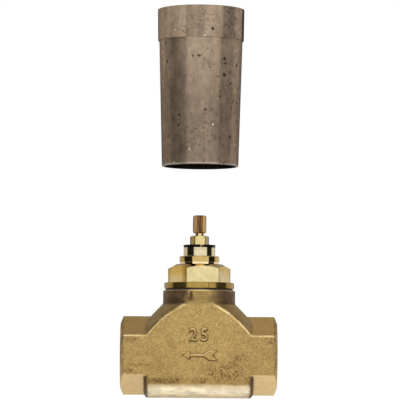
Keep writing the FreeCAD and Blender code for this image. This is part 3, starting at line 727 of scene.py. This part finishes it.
def plain_finish(name, colour, roughness, grain_size, metallic):
    """Plain metal, rubber or plastic with a fine grain."""
    material, tree, place, _, surface = new_material(name)
    grain = noise(tree, place, grain_size, 3.0, 0.6)
    set_shader(tree, surface, Metallic=metallic,
               Base_Color=shaded(tree, rgba(colour), varied(tree, grain, 0.82, 1.16)),
               Roughness=varied(tree, grain, roughness, roughness + 0.1),
               Normal=bumped(tree, grain, 0.00004, 0.5))
    return material


def cut_brass(settings):
    """Bright machined brass of the pipe threads."""
    return plain_finish("cut_brass", settings.cut_colour, 0.20, 0.0008, 1.0)


def sleeve_plastic(settings):
    """Pearly plastic, duller and with scuffs on its rim, with dark and pale flecks; painted shade inside and
    towards the narrow end, painted light and shade in bands round the tube and rim, and a painted highlight
    on the narrow end's edge.
    """
    material, tree, place, normal, surface = new_material("sleeve_plastic")
    x, y, z = split(tree, place)
    facing = split(tree, normal)
    cloud = noise(tree, stretched(tree, place, (1.0, 1.0, 0.6)), 0.009, 3.0, 0.5)
    smoke = noise(tree, stretched(tree, place, (1.0, 1.0, 0.6)), 0.0032, 3.0, 0.55)
    fine = noise(tree, place, 0.0014, 3.0, 0.6)
    streak = noise(tree, stretched(tree, place, (1.0, 1.0, 0.06)), 0.004, 3.0, 0.5)
    # Painted shade: darker from the rim towards the narrow end.
    painted_fall = eased(tree, z, FADE_Z, RIM_Z)
    colour = mixed(tree, painted_fall, settings.narrow_end_shade_colour, settings.colour)
    rim = eased(tree, z, RIM_Z - 0.0002, RIM_Z + 0.0002)
    # Painted highlight along the narrow end's edge.
    lip_highlight = falling(tree, z, SLEEVE_LOW.z + 0.0008, SLEEVE_LOW.z + 0.0013)
    turn = turn_round_axis(tree, x, y)
    # Scuffs, painted light and painted shade round the rim, such as the dark strip at its right-hand side.
    rim_scuffs_and_light = 1.0
    for low, high, shade in RIM_SCUFFS_AND_LIGHT:
        patch = band(tree, turn, *degrees(low, high, 5))
        rim_scuffs_and_light = product(tree, rim_scuffs_and_light, blended(tree, patch, 1.0, shade))
    # Painted light and shade in bands round the tube, standing for the studio's reflections.
    tube_painted_light = 1.0
    for low, high, upper_shade, lower_shade in TUBE_PAINTED_LIGHT:
        patch = band(tree, turn, *degrees(low, high, 7))
        shade = blended(tree, painted_fall, lower_shade, upper_shade)
        tube_painted_light = product(tree, tube_painted_light, blended(tree, patch, 1.0, shade))
    colour = shaded(tree, colour, varied(tree, cloud, 0.92, 1.07), varied(tree, streak, 0.94, 1.06),
                    varied(tree, fine, 0.92, 1.08), varied(tree, smoke, 0.86, 1.10),
                    blended(tree, rim, tube_painted_light, rim_scuffs_and_light))
    colour = mixed(tree, lip_highlight, colour, settings.lip_highlight_colour)
    dark = flecks(tree, place, settings.fleck_spacing, settings.fleck_radius, 0.24, 0.0)
    crowd = eased(tree, noise(tree, place, 0.015, 1.0, 0.5), 0.44, 0.60)
    for share, seed in SMALL_FLECKS:
        radius = settings.fleck_radius * share * 0.9
        small = flecks(tree, place, settings.fleck_spacing * share, radius, 0.25, seed)
        dark = largest(tree, dark, product(tree, small, crowd))
    soiled = product(tree, rim, band(tree, turn, *degrees(30, 64, 8)))
    speckle = eased(tree, noise(tree, place, 0.0020), 0.53, 0.64)
    speckle = product(tree, speckle, largest(tree, product(tree, crowd, 0.34), product(tree, soiled, 0.5)))
    dark = largest(tree, dark, speckle)
    pale = flecks(tree, place, settings.fleck_spacing * 1.2, settings.fleck_radius * 0.6, 0.60, 2.0)
    colour = mixed(tree, product(tree, dark, 0.92), colour, settings.dark_fleck)
    colour = mixed(tree, pale, colour, settings.pale_fleck)
    # Painted shade on the inside of the sleeve.
    outward = total(tree, product(tree, x, facing["X"]), product(tree, y, facing["Y"]))
    inner_shade = falling(tree, outward, -0.004, 0.0)
    colour = shaded(tree, colour, blended(tree, inner_shade, 1.0, 0.10))
    roughness = blended(tree, rim, varied(tree, cloud, 0.22, 0.28), 0.48)
    bump = bumped(tree, cloud, settings.unevenness)
    bump = bumped(tree, smoke, settings.unevenness * 0.2, 1.0, bump)
    bump = bumped(tree, dark, -0.00010, 0.5, bump)
    set_shader(tree, surface, Base_Color=colour, Roughness=roughness, Metallic=settings.pearl, Normal=bump,
               Specular_IOR_Level=0.25, Specular_Tint=grey(0.12))
    return material


# Pieces

def finish_piece(piece, material):
    """Makes a material the only one on a piece, which then rides on the valve's body."""
    piece.data.materials.clear()
    piece.data.materials.append(material)
    for face in piece.data.polygons:
        face.material_index = 0
    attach(piece, "valve")


def dress(node, material):
    """Gives a CAD node its finish."""
    slots = NODES[node].data.materials
    slots.clear()
    slots.append(material)


def mesh_from(source, name, matrix):
    """Plain mesh object at the origin from an object that is then deleted, with its place in the mesh."""
    bpy.context.scene.collection.objects.link(source)
    bpy.context.view_layer.update()
    evaluated = source.evaluated_get(bpy.context.evaluated_depsgraph_get())
    mesh = bpy.data.meshes.new_from_object(evaluated)
    mesh.name = name
    mesh.transform(matrix)
    solid = bmesh.new()
    solid.from_mesh(mesh)
    bmesh.ops.remove_doubles(solid, verts=solid.verts, dist=1e-7)
    bmesh.ops.recalc_face_normals(solid, faces=solid.faces)
    solid.to_mesh(mesh)
    solid.free()
    data = source.data
    bpy.data.objects.remove(source)
    bpy.data.batch_remove([data])
    piece = bpy.data.objects.new(name, mesh)
    bpy.context.scene.collection.objects.link(piece)
    return piece


def thread_tree():
    """Geometry nodes for the thread ridges of both ports, which run inwards along X from their mouths."""
    tree = bpy.data.node_groups.new("port_threads", "GeometryNodeTree")
    for name in ("Pitch", "Depth", "Radius", "Start", "Length", "Axis Height"):
        tree.interface.new_socket(name, in_out="INPUT", socket_type="NodeSocketFloat")
    tree.interface.new_socket("Steps", in_out="INPUT", socket_type="NodeSocketInt")
    tree.interface.new_socket("Material", in_out="INPUT", socket_type="NodeSocketMaterial")
    tree.interface.new_socket("Geometry", in_out="OUTPUT", socket_type="NodeSocketGeometry")
    given = add(tree, "NodeGroupInput").outputs
    root = product(tree, given["Pitch"], RIDGE_ROOT)
    rise = minus(tree, given["Length"], root)
    middle = minus(tree, given["Radius"], product(tree, given["Depth"], 0.5))
    coil = add(tree, "GeometryNodeCurveSpiral",
               {"Resolution": given["Steps"], "Rotations": maths(tree, "DIVIDE", rise, given["Pitch"]),
                "Start Radius": middle, "End Radius": middle, "Height": rise}).outputs[0]
    coil = add(tree, "GeometryNodeSetCurveNormal", {"Curve": coil}, mode="Z_UP").outputs[0]
    ridge = add(tree, "GeometryNodeCurvePrimitiveQuadrilateral",
                {"Height": given["Depth"], "Bottom Width": root,
                 "Top Width": product(tree, given["Pitch"], RIDGE_CREST), "Offset": 0.0},
                mode="TRAPEZOID").outputs[0]
    ridge = add(tree, "GeometryNodeTransform",
                {"Geometry": ridge, "Rotation": (0.0, 0.0, -math.pi / 2)}).outputs["Geometry"]
    threads = add(tree, "GeometryNodeCurveToMesh",
                  {"Curve": coil, "Profile Curve": ridge, "Fill Caps": True}).outputs[0]
    both = add(tree, "GeometryNodeJoinGeometry")
    start = total(tree, given["Start"], product(tree, root, 0.5))
    for side in (1, -1):
        place = add(tree, "ShaderNodeCombineXYZ", {"X": product(tree, start, side),
                                                   "Z": given["Axis Height"]}).outputs[0]
        port = add(tree, "GeometryNodeTransform", {"Geometry": threads, "Translation": place,
                                                   "Rotation": (0.0, side * math.pi / 2, 0.0)})
        tree.links.new(port.outputs["Geometry"], both.inputs["Geometry"])
    solid = add(tree, "GeometryNodeRealizeInstances", {"Geometry": both.outputs[0]}).outputs[0]
    solid = add(tree, "GeometryNodeSetMaterial", {"Geometry": solid, "Material": given["Material"]})
    add(tree, "NodeGroupOutput", {"Geometry": solid.outputs[0]})
    return tree


# Operators

class VALVE_OT_forged_body(Operator):
    """Finish of the forged body"""
    bl_idname = "stop_valve.forged_body"
    bl_label = "Forged Body"

    def execute(self, context):
        dress("valve_body", forged_brass(context.scene.stop_valve.forging))
        return {"FINISHED"}


class VALVE_OT_headpart(Operator):
    """Finishes of the bonnet, spindle, cone and clip"""
    bl_idname = "stop_valve.headpart"
    bl_label = "Headpart"

    def execute(self, context):
        settings = context.scene.stop_valve.turned
        brass = turned_brass(settings)
        dress("bonnet", brass)
        dress("valve_cone", brass)
        dress("spindle", spindle_brass(settings))
        dress("retaining_clip", plain_finish("black_steel", (0.012, 0.010, 0.009), 0.35, 0.0006, 1.0))
        return {"FINISHED"}


class VALVE_OT_seals(Operator):
    """Finishes of the gasket, seals, washers and the washer's screw"""
    bl_idname = "stop_valve.seals"
    bl_label = "Seals and Washers"

    def execute(self, context):
        rubber = plain_finish("black_rubber", (0.02, 0.012, 0.006), 0.55, 0.0005, 0.0)
        for node in ("bonnet_gasket", "lower_stem_seal", "upper_stem_seal", "cone_seal", "seat_washer"):
            dress(node, rubber)
        dress("thrust_washer", plain_finish("slip_plastic", (0.72, 0.70, 0.64), 0.35, 0.0006, 0.0))
        steel = plain_finish("stainless_steel", (0.55, 0.54, 0.52), 0.25, 0.0005, 1.0)
        dress("washer_plate", steel)
        dress("washer_screw", steel)
        return {"FINISHED"}


class VALVE_OT_sleeve(Operator):
    """Finish of the plaster sleeve"""
    bl_idname = "stop_valve.sleeve"
    bl_label = "Plaster Sleeve"

    def execute(self, context):
        dress("plaster_sleeve", sleeve_plastic(context.scene.stop_valve.sleeve))
        return {"FINISHED"}


class VALVE_OT_threads(Operator):
    """Pipe threads in both sockets"""
    bl_idname = "stop_valve.threads"
    bl_label = "Pipe Threads"

    def execute(self, context):
        settings = context.scene.stop_valve.thread
        tree = thread_tree()
        material = cut_brass(context.scene.stop_valve.forging)
        values = {"Pitch": settings.pitch, "Depth": settings.depth, "Radius": PORT_RADIUS,
                  "Start": PORT_MOUTH_X - PORT_LENGTH, "Length": PORT_LENGTH, "Axis Height": PIPE_AXIS_Z,
                  "Steps": settings.steps, "Material": material}
        source = bpy.data.objects.new("thread_source", bpy.data.meshes.new("thread_source"))
        modifier = source.modifiers.new("threads", "NODES")
        modifier.node_group = tree
        for socket in tree.interface.items_tree:
            if socket.in_out == "INPUT":
                modifier[socket.identifier] = values[socket.name]
        piece = mesh_from(source, "port_threads", Matrix.Identity(4))
        finish_piece(piece, material)
        return {"FINISHED"}


class VALVE_OT_marks(Operator):
    """Raised nominal size and flow arrow on the front of the body"""
    bl_idname = "stop_valve.marks"
    bl_label = "Raised Marks"

    def execute(self, context):
        settings = context.scene.stop_valve.marks
        material = raised_brass(context.scene.stop_valve.forging)
        figures = bpy.data.curves.new("size_figures", "FONT")
        figures.body = settings.text
        figures.align_x = "CENTER"
        figures.align_y = "CENTER"
        figures.size = settings.text_height / CAPITAL_HEIGHT
        figures.space_character = FIGURE_SPACING
        place = Vector((0, FRONT_Y, PIPE_AXIS_Z + settings.text_rise))
        self.raise_mark(figures, "size_figures", settings, place, material)

        arrow = bpy.data.curves.new("flow_arrow", "CURVE")
        arrow.dimensions = "2D"
        arrow.fill_mode = "BOTH"
        outline = self.arrow_outline(settings.arrow_length)
        spline = arrow.splines.new("POLY")
        spline.points.add(len(outline) - 1)
        for point, (along, up) in zip(spline.points, outline):
            point.co = (along, up, 0, 1)
        spline.use_cyclic_u = True
        place = Vector((ARROW_X, FRONT_Y, PIPE_AXIS_Z))
        self.raise_mark(arrow, "flow_arrow", settings, place, material)
        return {"FINISHED"}

    @staticmethod
    def arrow_outline(whole):
        """Fletched arrow that points along -X, as corners of its upper half and their mirror images."""
        half = whole / 2
        lower = [(along, -up) for along, up in reversed(ARROW_CORNERS)]
        corners = [(-1.0, 0.0), *ARROW_CORNERS, (0.72, 0.0), *lower]
        return [(along * half, up * half) for along, up in corners]

    @staticmethod
    def raise_mark(curve, name, settings, place, material):
        """Raises a flat curve off the front face, with sloping sides."""
        curve.extrude = settings.relief - settings.rounding
        curve.bevel_depth = settings.rounding
        curve.bevel_resolution = 3
        curve.offset = -settings.rounding * 0.5
        upright = Matrix.Translation(place) @ Matrix.Rotation(math.radians(90), 4, "X")
        piece = mesh_from(bpy.data.objects.new(name, curve), name, upright)
        finish_piece(piece, material)


class VALVE_OT_stage(Operator):
    """Floor, light and camera"""
    bl_idname = "stop_valve.stage"
    bl_label = "Stage"

    def execute(self, context):
        settings = context.scene.stop_valve.studio
        self.make_floor(settings)
        self.make_light(context.scene, settings)
        self.make_camera(context.scene, settings)
        context.scene.view_settings.view_transform = "Standard"
        return {"FINISHED"}

    @staticmethod
    def make_floor(settings):
        """Pale floor that looks white to the camera and in reflections, and keeps a soft shadow."""
        half = 3.0
        mesh = bpy.data.meshes.new("floor")
        corners = [(-half, -half, 0), (half, -half, 0), (half, half, 0), (-half, half, 0)]
        mesh.from_pydata(corners, [], [(0, 1, 2, 3)])
        material = bpy.data.materials.new("floor")
        tree = empty_tree(material)
        path = add(tree, "ShaderNodeLightPath").outputs
        seen = largest(tree, path["Is Camera Ray"], path["Is Glossy Ray"], path["Is Transmission Ray"])
        paint = add(tree, "ShaderNodeBsdfDiffuse", {"Color": grey(0.8)})
        glow = add(tree, "ShaderNodeEmission", {"Color": grey(1.0), "Strength": settings.floor_light})
        surface = add(tree, "ShaderNodeMixShader", {0: product(tree, seen, 0.6),
                                                    1: paint.outputs[0], 2: glow.outputs[0]})
        add(tree, "ShaderNodeOutputMaterial", {"Surface": surface.outputs[0]})
        mesh.materials.append(material)
        floor = bpy.data.objects.new("floor", mesh)
        bpy.context.scene.collection.objects.link(floor)

    @staticmethod
    def make_light(scene, settings):
        """Studio as a world: white panel in front, softbox over it, dark sides and warm walls behind."""
        world = bpy.data.worlds.new("studio")
        tree = empty_tree(world)
        x, y, z = split(tree, add(tree, "ShaderNodeTexCoord").outputs["Generated"])
        turn = turn_round_axis(tree, x, y)
        rise = maths(tree, "ARCSINE", z)
        panel = band(tree, turn, -settings.panel_left, settings.panel_right, math.radians(PANEL_SOFTNESS))
        softbox = band(tree, rise, *degrees(*SOFTBOX_RISE))
        walls = opposite(tree, band(tree, turn, *degrees(*FRONT_TURN)))
        behind = eased(tree, magnitude(tree, turn), *degrees(*BEHIND_TURN))
        high = eased(tree, rise, *degrees(*WALL_TOP_RISE))
        overhead = eased(tree, rise, *degrees(*OVERHEAD_RISE))
        lit_panel = mixed(tree, softbox, grey(settings.panel_light), grey(settings.softbox_light))
        colour = mixed(tree, panel, grey(settings.side_light), lit_panel)
        wall = mixed(tree, eased(tree, turn, *degrees(-1, 1)), settings.left_wall,
                     settings.right_wall)
        wall = mixed(tree, behind, wall, grey(settings.behind_light))
        wall = mixed(tree, high, wall, settings.ceiling_colour)
        colour = mixed(tree, walls, colour, wall)
        colour = mixed(tree, overhead, colour, settings.ceiling_colour)
        lit = add(tree, "ShaderNodeBackground", {"Color": colour, "Strength": 1.0})
        white = add(tree, "ShaderNodeBackground", {"Color": grey(1.0), "Strength": 1.0})
        path = add(tree, "ShaderNodeLightPath").outputs
        backdrop = product(tree, eased(tree, magnitude(tree, turn), *degrees(*BACKDROP_TURN)),
                           band(tree, rise, *degrees(*BACKDROP_RISE)))
        seen = largest(tree, path["Is Camera Ray"], path["Is Transmission Ray"],
                       product(tree, path["Is Glossy Ray"], backdrop))
        surface = add(tree, "ShaderNodeMixShader", {0: seen, 1: lit.outputs[0], 2: white.outputs[0]})
        add(tree, "ShaderNodeOutputWorld", {"Surface": surface.outputs[0]})
        scene.world = world

    @staticmethod
    def make_camera(scene, settings):
        """Long lens near the floor, tilted up."""
        data = bpy.data.cameras.new("camera")
        data.sensor_width = SENSOR_WIDTH
        data.lens = settings.focal_pixels * SENSOR_WIDTH / IMAGE_PIXELS
        data.clip_end = 50
        camera = bpy.data.objects.new("camera", data)
        tilt = math.atan((settings.horizon_pixel - IMAGE_PIXELS / 2) / settings.focal_pixels)
        turn = Matrix.Rotation(math.radians(90) + tilt, 4, "X") @ Matrix.Rotation(settings.roll, 4, "Z")
        place = Vector((settings.camera_side, -settings.distance, settings.camera_height))
        camera.matrix_world = Matrix.Translation(place) @ turn
        scene.collection.objects.link(camera)
        scene.camera = camera


class VALVE_PT_sidebar(Panel):
    """Pieces and settings of the stop valve"""
    bl_idname = "VALVE_PT_sidebar"
    bl_label = "Stop Valve"
    bl_space_type = "VIEW_3D"
    bl_region_type = "UI"
    bl_category = "Stop Valve"

    def draw(self, context):
        layout = self.layout
        for operator in OPERATORS:
            layout.operator(operator.bl_idname)
        for name in StopValveSettings.__annotations__:
            group = getattr(context.scene.stop_valve, name)
            box = layout.box()
            box.label(text=name.capitalize())
            for prop in group.__annotations__:
                box.prop(group, prop)


OPERATORS = (VALVE_OT_forged_body, VALVE_OT_headpart, VALVE_OT_seals, VALVE_OT_sleeve, VALVE_OT_threads,
             VALVE_OT_marks, VALVE_OT_stage)
CLASSES = (ForgingSettings, TurnedBrassSettings, SleeveSettings, MarkSettings, ThreadSettings, StudioSettings,
           StopValveSettings, *OPERATORS, VALVE_PT_sidebar)


def register():
    for cls in CLASSES:
        bpy.utils.register_class(cls)
    bpy.types.Scene.stop_valve = PointerProperty(type=StopValveSettings)


def unregister():
    del bpy.types.Scene.stop_valve
    for cls in reversed(CLASSES):
        bpy.utils.unregister_class(cls)


def main():
    register()
    bpy.ops.stop_valve.forged_body()
    bpy.ops.stop_valve.headpart()
    bpy.ops.stop_valve.seals()
    bpy.ops.stop_valve.sleeve()
    bpy.ops.stop_valve.threads()
    bpy.ops.stop_valve.marks()
    bpy.ops.stop_valve.stage()


if __name__ == "__main__":
    main()
